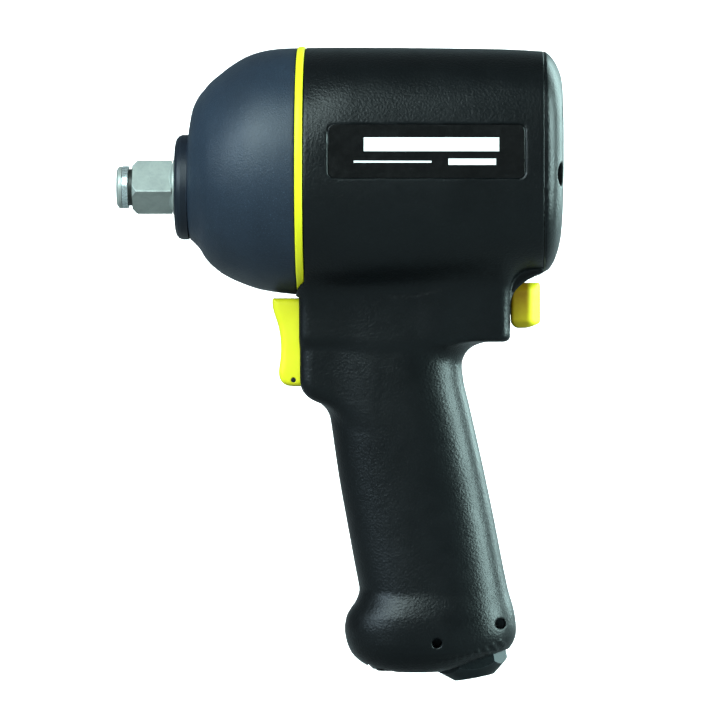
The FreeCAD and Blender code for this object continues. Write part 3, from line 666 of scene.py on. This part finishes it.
# --------------------------------------------------------------- small details
def seam_lip():
    """Thin lip of the rear cover that closes over the rim of its gasket."""
    count, power = 360, 2.9
    outer = SEAM_TOP - 0.05, SEAM_BOTTOM + 0.03, SEAM_HALF - 0.05
    inner = SEAM_TOP - 0.75, SEAM_BOTTOM + 0.10, SEAM_HALF - 0.55
    front, rear = 139.24, 139.74
    verts, quads = [], []
    for x, (top, bottom, half) in ((front, outer), (rear, outer), (rear, inner), (front, inner)):
        centre, half_height = (top + bottom) / 2, (top - bottom) / 2
        for i in range(count):
            angle = 2 * math.pi * i / count
            cos, sin = math.cos(angle), math.sin(angle)
            radius = (abs(cos / half_height) ** power + abs(sin / half) ** power) ** (-1 / power)
            verts.append((x, radius * sin, centre + radius * cos))
    for row in range(4):
        this, after = row * count, (row + 1) % 4 * count
        for i in range(count):
            j = (i + 1) % count
            quads.append((this + i, this + j, after + j, after + i))
    ob = quad_object("rear_seam_lip", verts, quads, smooth=False)
    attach(ob, "housing")
    return ob


lip_ob = seam_lip()


def valve_spring_coil():
    """Round wire wound on the inlet axis, built at rest; in the tool the trigger tips the valve
    onto it to shorten it.
    """
    turns, pitch, coil_radius, wire_radius = 5.0, 3.1, 4.9, 0.5
    start = 61.6            # height of the first wire centre up the inlet
    steps, sides = 240, 14
    verts, faces = [], []
    for i in range(steps + 1):
        t = i / steps
        turn = 2 * math.pi * turns * t
        centre = start + pitch * turns * t
        for k in range(sides):
            angle = 2 * math.pi * k / sides
            radius = coil_radius + wire_radius * math.cos(angle)
            x, z = inlet_point(radius * math.cos(turn), centre + wire_radius * math.sin(angle))
            verts.append((x * MM, radius * math.sin(turn) * MM, z * MM))
    for i in range(steps):
        this, after = i * sides, (i + 1) * sides
        for k in range(sides):
            j = (k + 1) % sides
            faces.append((this + k, this + j, after + j, after + k))
    faces.append(tuple(reversed(range(sides))))
    faces.append(tuple(steps * sides + k for k in range(sides)))
    mesh = bpy.data.meshes.new("valve_spring_coil")
    mesh.from_pydata(verts, [], faces)
    mesh.update()
    face_outward(mesh)
    mesh.polygons.foreach_set("use_smooth", [True] * len(mesh.polygons))
    ob = add_object("valve_spring_coil", mesh)
    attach(ob, "housing")
    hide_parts("valve_spring")
    x, z = inlet_point(0, start - wire_radius)
    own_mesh(ob)
    return ob


coil_ob = valve_spring_coil()


# ------------------------------------------------------------------- materials
def srgb(colour):
    """8-bit sRGB to linear RGBA."""
    channels = [v / 255.0 for v in colour]
    return (*(v / 12.92 if v <= 0.04045 else ((v + 0.055) / 1.055) ** 2.4
              for v in channels), 1.0)


def tone(colour, gain, lift=0):
    return tuple(min(255, int(v * gain + lift)) for v in colour)


class Nodes:
    """Short calls for building a node tree; a value may be a number or an output."""
    def __init__(self, tree):
        self.tree = tree

    def put(self, socket, value):
        if isinstance(value, bpy.types.NodeSocket):
            self.tree.links.new(value, socket)
        else:
            socket.default_value = value

    def add(self, kind, inputs={}, **settings):
        node = self.tree.nodes.new("ShaderNode" + kind)
        for key, value in settings.items():
            setattr(node, key, value)
        for key, value in inputs.items():
            self.put(node.inputs[key], value)
        return node

    def remap(self, value, span, to, kind="LINEAR"):
        inputs = dict(enumerate((value, *span, *to)))
        return self.add("MapRange", inputs, interpolation_type=kind).outputs[0]


class Material(Nodes):
    """Principled material; textures use object coordinates."""
    INPUTS = {"color": "Base Color", "metal": "Metallic", "rough": "Roughness",
              "spec": "Specular IOR Level", "normal": "Normal", "coat": "Coat Weight",
              "coat_rough": "Coat Roughness", "sheen": "Sheen Weight"}

    def __init__(self, name):
        self.material = bpy.data.materials.new(name)
        self.material.use_nodes = True
        super().__init__(self.material.node_tree)
        self.tree.nodes.clear()
        self.output = self.add("OutputMaterial")
        self.shader = self.add("BsdfPrincipled")
        self.put(self.output.inputs["Surface"], self.shader.outputs[0])
        self.coords = self.add("TexCoord").outputs["Object"]

    def math(self, operation, a, b=0.0):
        return self.add("Math", {0: a, 1: b, 2: 0.0}, operation=operation).outputs[0]

    def times(self, a, b):
        return self.math("MULTIPLY", a, b)

    def noise(self, scale, detail, rough, stretch=None, warp=0.0):
        vector = self.coords
        if stretch:
            vector = self.add("Mapping", {0: vector, "Scale": stretch}).outputs[0]
        return self.add("TexNoise", {"Vector": vector, "Scale": scale, "Detail": detail,
                                     "Roughness": rough, "Distortion": warp}).outputs["Fac"]

    def patches(self, scale, detail, rough, span, to, stretch=None):
        """Noise with span stretched over the values in to."""
        return self.remap(self.noise(scale, detail, rough, stretch), span, to)

    def xyz(self):
        return self.add("SeparateXYZ", {0: self.coords}).outputs

    def mix(self, factor, first, second):
        """Blend two colours, each an output or 8-bit sRGB."""
        first, second = (srgb(c) if isinstance(c, tuple) else c for c in (first, second))
        inputs = {0: factor, 6: first, 7: second}
        return self.add("Mix", inputs, data_type="RGBA").outputs[2]

    def bump(self, height, distance, strength, normal=None):
        inputs = {"Strength": strength, "Distance": distance, "Height": height}
        if normal is not None:
            inputs["Normal"] = normal
        return self.add("Bump", inputs).outputs[0]

    def soft_normal(self, radius, samples=6):
        return self.add("Bevel", {"Radius": radius}, samples=samples).outputs[0]

    def edge(self, radius):
        """1 on convex edges, from a rounded normal compared with the true one."""
        normal = self.add("NewGeometry").outputs["Normal"]
        dot = self.add("VectorMath", {0: self.soft_normal(radius, samples=4), 1: normal},
                       operation="DOT_PRODUCT").outputs["Value"]
        return self.remap(self.math("SUBTRACT", 1.0, dot), (0.02, 0.25), (0.0, 1.0))

    def finish(self, **values):
        for key, value in values.items():
            self.put(self.shader.inputs[self.INPUTS[key]], value)
        return self.material


def plastic(name, base, light, rough, grain, spec, fleck, cell=1500.0):
    """Pebbled plastic: cell is the grain's scale, fleck the strength of its pale specks."""
    m = Material(name)
    color = m.mix(m.patches(28.0, 4.0, 0.6, (0.35, 0.7), (0.0, 0.55)), base, light)
    flecks = m.patches(cell * 1.6, 2.0, 0.6, (0.60, 0.76), (0.0, fleck))
    color = m.mix(flecks, color, tone(light, gain=1.9, lift=22))
    pits = m.patches(cell * 0.9, 2.0, 0.6, (0.3, 0.42), (0.35, 0.0))
    color = m.mix(pits, color, tone(base, gain=0.6))
    voronoi = m.add("TexVoronoi", {"Vector": m.coords, "Scale": cell * 0.75})
    pebbles = m.math("ADD", m.times(m.noise(cell, 2.5, 0.62), 1.0),
                     m.times(voronoi.outputs["Distance"], 0.55))
    # pale convex edges, partly rubbed wear and partly a painted edge highlight
    wear = m.times(m.edge(0.0007), m.patches(420.0, 4.0, 0.7, (0.42, 0.62), (0.0, 0.5)))
    color = m.mix(wear, color, tone(light, gain=1.5, lift=14))
    roughness = m.patches(90.0, 4.0, 0.6, (0.3, 0.7), rough)
    normal = m.bump(pebbles, distance=0.00010 * grain, strength=0.75)
    normal = m.bump(m.noise(180.0, 2.0, 0.5), 0.00022, 0.35, normal)
    return m.finish(color=color, rough=roughness, spec=spec, normal=normal)


def yellow(name, shaded=False):
    m = Material(name)
    color = m.mix(m.patches(60.0, 4.0, 0.6, (0.35, 0.7), (0.0, 0.7)),
                  (206, 204, 30), (216, 214, 40))
    specks = m.patches(2600.0, 2.0, 0.5, (0.58, 0.75), (0.0, 0.28))
    color = m.mix(specks, color, (196, 212, 46))
    scuff = m.times(m.edge(0.0005), m.patches(700.0, 4.0, 0.7, (0.48, 0.62), (0.0, 0.55)))
    color = m.mix(scuff, color, (176, 186, 60))
    dirt = m.patches(140.0, 5.0, 0.7, (0.62, 0.85), (0.0, 0.22))
    color = m.mix(dirt, color, (150, 158, 50))
    if shaded:
        # painted shade on the cheeks, darkest at the front and top, fading to the rear and a
        # little downward
        x, _, z = m.xyz()
        forward = m.remap(x, (0.1336, 0.1356), (1.0, 0.0), kind="SMOOTHSTEP")
        upward = m.remap(z, (-0.0455, -0.0350), (0.62, 1.0))
        painted_shade = m.times(m.times(forward, upward),
                        m.patches(160.0, 3.0, 0.6, (0.3, 0.7), (0.88, 1.0)))
        color = m.mix(painted_shade, color, (116, 76, 1))
    # bounced light is held back, so that the yellow doesn't tint the black beside it
    path = m.add("LightPath").outputs
    bounced = m.math("MAXIMUM", path["Is Glossy Ray"], path["Is Diffuse Ray"])
    color = m.mix(m.times(bounced, 0.85), color, (26, 28, 12))
    normal = m.bump(m.noise(1500.0, 2.0, 0.55), distance=0.00006, strength=0.6)
    roughness = m.patches(240.0, 3.0, 0.6, (0.3, 0.7), (0.36, 0.5))
    return m.finish(color=color, rough=roughness, spec=0.22, normal=normal)


def steel(name, dark, light, rough, brush=(1.0, 1.0, 1.0), mottle=0.5, metal=1.0,
          bump=0.00004, wear=(214, 220, 220), grime=None):
    """Metal: brush stretches the fine grain, mottle is the share of coarse patches."""
    m = Material(name)
    edge_radius = 0.0003
    coarse = m.noise(300.0, 5.0, 0.65, warp=0.4)
    fine = m.noise(1400.0, 4.0, 0.7, stretch=brush)
    grain = m.math("ADD", m.times(coarse, mottle), m.times(fine, 1 - mottle))
    color = m.mix(m.remap(grain, (0.25, 0.75), (0.0, 1.0)), dark, light)
    color = m.mix(m.times(m.edge(edge_radius * 1.6), 0.5), color, wear)
    spots = m.patches(900.0, 3.0, 0.7, (0.66, 0.76), (0.0, 0.22))
    color = m.mix(spots, color, tone(dark, gain=0.55))
    if grime:
        # old grease held in a groove between two planes across x, in metres
        front, rear = grime
        x = m.xyz()[0]
        behind = m.remap(x, (front - 0.00025, front), (0.0, 1.0))
        ahead = m.remap(x, (rear, rear + 0.0002), (1.0, 0.0))
        color = m.mix(m.times(m.times(behind, ahead), 0.93), color, (22, 24, 22))
    roughness = m.remap(fine, (0.25, 0.75), rough)
    normal = m.bump(grain, bump, 0.45, m.soft_normal(edge_radius))
    return m.finish(color=color, rough=roughness, metal=metal, normal=normal)


def soft(name, base, light, rough, scale=900.0, sheen=0.0, bump=0.0001):
    """Matt rubber, felt and the like; scale is that of the fine grain."""
    m = Material(name)
    color = m.mix(m.patches(200.0, 4.0, 0.6, (0.35, 0.7), (0.0, 1.0)), base, light)
    specks = m.patches(scale, 2.0, 0.6, (0.6, 0.75), (0.0, 0.3))
    color = m.mix(specks, color, tone(base, gain=0.5))
    normal = m.bump(m.noise(scale, 3.0, 0.6), bump, 0.7, m.soft_normal(0.0002))
    roughness = m.patches(300.0, 3.0, 0.6, (0.3, 0.7), rough)
    return m.finish(color=color, rough=roughness, normal=normal, sheen=sheen)


def box_mask(m, x, z, half_x, half_z):
    """1 inside a box in the xz plane, given in mm."""
    fade = 0.00003
    at_x, _, at_z = m.xyz()
    off_x = m.math("ABSOLUTE", m.math("SUBTRACT", at_x, x * MM))
    off_z = m.math("ABSOLUTE", m.math("SUBTRACT", at_z, z * MM))
    outside = m.math("MAXIMUM", m.math("SUBTRACT", off_x, half_x * MM),
                     m.math("SUBTRACT", off_z, half_z * MM))
    return m.remap(outside, (-fade, fade), (1.0, 0.0))


def printed_label(name, marks):
    """Glossy black with pale printed bars; marks hold x, z, half-x, half-z in mm."""
    m = Material(name)
    color = m.mix(m.patches(90.0, 4.0, 0.6, (0.35, 0.7), (0.0, 1.0)), (6, 8, 8), (11, 13, 13))
    ink = box_mask(m, *marks[0])
    for mark in marks[1:]:
        ink = m.math("MAXIMUM", ink, box_mask(m, *mark))
    ink = m.times(ink, m.patches(1700.0, 3.0, 0.7, (0.28, 0.36), (0.75, 1.0)))
    color = m.mix(ink, color, (232, 236, 234))
    scratches = m.patches(900.0, 4.0, 0.7, (0.66, 0.74), (0.0, 0.25), stretch=(0.15, 1.0, 2.5))
    color = m.mix(scratches, color, (70, 76, 76))
    normal = m.bump(m.noise(260.0, 3.0, 0.5), 0.00003, 0.6, m.soft_normal(0.0003))
    roughness = m.patches(420.0, 4.0, 0.6, (0.3, 0.7), (0.12, 0.26))
    return m.finish(color=color, rough=roughness, spec=0.5, normal=normal,
                    coat=0.15, coat_rough=0.08)


LABEL_MARKS = [(103.0, 12.3, 21.6, 2.2), (90.6, 6.75, 12.4, 0.3), (116.0, 6.75, 7.6, 1.0)]
MATERIALS = {
    "body_composite": plastic("body_composite", (5, 8, 9), (9, 13, 15), rough=(0.31, 0.40),
                              grain=1.3, spec=0.27, fleck=0.2),
    "case_coat": plastic("case_coat", (27, 36, 46), (36, 48, 61), rough=(0.36, 0.46),
                         grain=0.9, spec=0.28, fleck=0.3, cell=2100.0),
    "accent_yellow": yellow("accent_yellow"),
    # copy of the yellow with painted shade on the knob's cheeks
    "knob_yellow": yellow("accent_yellow_knob_painted_shade", shaded=True),
    "gasket_yellow": soft("gasket_yellow", (44, 48, 36), (66, 70, 48), rough=(0.5, 0.7)),
    "collar_black": plastic("collar_black", (15, 21, 28), (22, 30, 41), rough=(0.34, 0.46),
                            grain=0.5, spec=0.3, fleck=0.15, cell=1900.0),
    "bright_steel": steel("bright_steel", (150, 165, 165), (206, 218, 216), rough=(0.18, 0.34),
                          brush=(0.5, 1.0, 1.0), metal=0.7, bump=0.000012),
    "tool_steel": steel("tool_steel", (150, 170, 165), (206, 224, 216), rough=(0.34, 0.46),
                        brush=(0.7, 1.0, 1.0), mottle=0.8, metal=0.5, bump=0.00001),
    "anvil_steel": steel("anvil_steel", (140, 149, 144), (170, 179, 172), rough=(0.36, 0.46),
                         brush=(0.7, 1.0, 1.0), mottle=0.8, metal=0.5, bump=0.000008,
                         grime=(0.0040, 0.0051)),
    "black_steel": steel("black_steel", (34, 38, 40), (62, 68, 70), rough=(0.34, 0.5),
                         wear=(130, 136, 138)),
    "cast_alloy": steel("cast_alloy", (122, 128, 128), (166, 172, 172), rough=(0.4, 0.6),
                        bump=0.00012),
    "bronze": steel("bronze", (142, 104, 56), (184, 144, 86), rough=(0.32, 0.5),
                    wear=(222, 190, 130)),
    "brass_bush": steel("brass_bush", (170, 142, 70), (206, 180, 104), rough=(0.25, 0.42),
                        wear=(236, 214, 150)),
    "label_gloss": printed_label("label_gloss", LABEL_MARKS),
    "phenolic": soft("phenolic", (92, 58, 34), (124, 82, 50), rough=(0.45, 0.6)),
    "seal_rubber": soft("seal_rubber", (22, 23, 24), (34, 36, 37), rough=(0.5, 0.72)),
    "spring_steel": steel("spring_steel", (120, 128, 130), (180, 188, 190), rough=(0.22, 0.4)),
    "felt": soft("felt", (150, 146, 134), (178, 174, 160), rough=(0.85, 0.98),
                 scale=1600.0, sheen=0.4, bump=0.0003),
}


def paint(ob, material):
    ob.data.materials.clear()
    ob.data.materials.append(MATERIALS[material])


for entry in frame["record"]["subparts"]:
    part = nodes.get(entry["node"])
    if part is not None:
        paint(part, entry["material_slot"])
paint(nodes["anvil"], "anvil_steel")
for part, material in (
        (housing_ob, "body_composite"), (case_ob, "case_coat"), (ring_ob, "accent_yellow"),
        (cover_ob, "body_composite"), (lip_ob, "body_composite"), (coil_ob, "spring_steel"),
        (trigger_ob, "accent_yellow"), (knob_ob, "knob_yellow")):
    paint(part, material)

# ---------------------------------------------------------------- stage (metres)
FLOOR_Z = -0.1672


def studio_paper():
    m = Material("studio_paper")
    paper = m.mix(m.noise(3.0, 2.0, 0.5), (246, 247, 247), (250, 250, 250))
    seen = m.add("LightPath").outputs["Is Camera Ray"]
    m.put(m.shader.inputs["Emission Color"], (1, 1, 1, 1))
    m.put(m.shader.inputs["Emission Strength"], m.times(seen, 0.72))
    # dimmer to other rays, so that the paper doesn't wash the underside
    m.finish(color=m.mix(seen, (120, 122, 124), paper), rough=0.9, spec=0.1)
    # clear to the camera from behind, so that it never hides the object
    behind = m.add("NewGeometry").outputs["Backfacing"]
    clear = m.add("BsdfTransparent").outputs[0]
    mixed = m.add("MixShader", {0: m.times(behind, seen), 1: m.shader.outputs[0], 2: clear})
    m.put(m.output.inputs["Surface"], mixed.outputs[0])
    return m.material


def sweep_floor():
    """Flat floor that curves up into a wall behind the object."""
    bend_y, bend_radius, bend_steps = 0.55, 0.45, 16
    profile = [(-1.6, 0.0), (-0.8, 0.0), (0.0, 0.0), (bend_y, 0.0)]     # y, height
    for i in range(1, bend_steps + 1):
        angle = i / bend_steps * math.pi / 2
        profile.append((bend_y + bend_radius * math.sin(angle),
                        bend_radius - bend_radius * math.cos(angle)))
    profile.append((bend_y + bend_radius, 1.4))
    verts = [(x, y, FLOOR_Z + z) for x in (-1.6, 1.8) for y, z in profile]
    count = len(profile)
    faces = [(i, count + i, count + i + 1, i + 1) for i in range(count - 1)]
    mesh = bpy.data.meshes.new("studio_floor")
    mesh.from_pydata(verts, [], faces)
    mesh.polygons.foreach_set("use_smooth", [True] * len(faces))
    ob = add_object("studio_floor", mesh)
    mesh.materials.append(studio_paper())


sweep_floor()

CENTRE = (0.08, 0.0, -0.05)
TEAL = (0.70, 1.0, 0.98)
WHITE = (1, 1, 1)


def area(name, at, size, power, color=WHITE, target=CENTRE, glossy=True):
    """Area light of size (width, height) turned to face the target."""
    light = bpy.data.lights.new(name, "AREA")
    light.energy = power
    light.color = color
    light.shape = "RECTANGLE"
    light.size, light.size_y = size
    ob = add_object(name, light)
    ob.location = at
    dx, dy, dz = (t - a for t, a in zip(target, at))
    pitch = math.asin(dz / math.sqrt(dx * dx + dy * dy + dz * dz))
    ob.rotation_euler = (math.pi / 2 + pitch, 0, math.atan2(dy, dx) - math.pi / 2)
    ob.visible_glossy = glossy


area("key_left", (-0.95, -0.7, 0.40), size=(0.7, 0.7), power=12.0, color=(0.66, 0.86, 1.0))
area("key_front", (-0.14, -0.38, 0.25), size=(0.3, 0.36), power=3.3, color=(0.79, 1.0, 1.0),
     target=(0.06, 0.0, 0.01))
area("rim_rear", (0.98, -0.16, 0.0), size=(0.42, 1.0), power=30.0, color=TEAL)
area("rim_far", (0.75, 0.7, 0.3), size=(0.5, 0.8), power=10.0, color=TEAL)
area("front_fill", (0.15, -1.5, 0.1), size=(0.9, 0.9), power=9.5, glossy=False)
area("back_fill", (-0.05, 0.85, 0.35), size=(0.7, 0.6), power=5.0, glossy=False)


def studio_world():
    """Pale surround: full strength to the camera, dim to other rays, dimmest to glossy."""
    world = bpy.data.worlds.new("studio")
    bpy.context.scene.world = world
    world.use_nodes = True
    tree = Nodes(world.node_tree)
    background = tree.tree.nodes["Background"]
    background.inputs[0].default_value = (0.93, 0.97, 1.0, 1)
    path = tree.add("LightPath").outputs
    unseen = tree.remap(path["Is Glossy Ray"], (0.0, 1.0), to=(0.26, 0.10))
    strength = tree.remap(path["Is Camera Ray"], (0.0, 1.0), to=(unseen, 1.0))
    tree.put(background.inputs[1], strength)


def camera():
    """Long lens, level, turned a little off the side view."""
    distance, view_width, sensor = 1.6, 0.2353, 36.0
    aim_x, aim_z = 0.0794, -0.0565
    turn = math.radians(1.2)
    lens = bpy.data.cameras.new("view")
    ob = add_object("view", lens)
    ob.location = (aim_x + distance * math.sin(turn), -distance * math.cos(turn), aim_z)
    ob.rotation_euler = (math.pi / 2, 0, turn)
    lens.sensor_fit = "HORIZONTAL"
    lens.sensor_width = sensor
    lens.lens = sensor * distance / view_width
    lens.clip_start = 0.05
    bpy.context.scene.camera = ob


studio_world()
camera()
bpy.context.scene.view_settings.view_transform = "Standard"
bpy.context.scene.view_settings.look = "None"

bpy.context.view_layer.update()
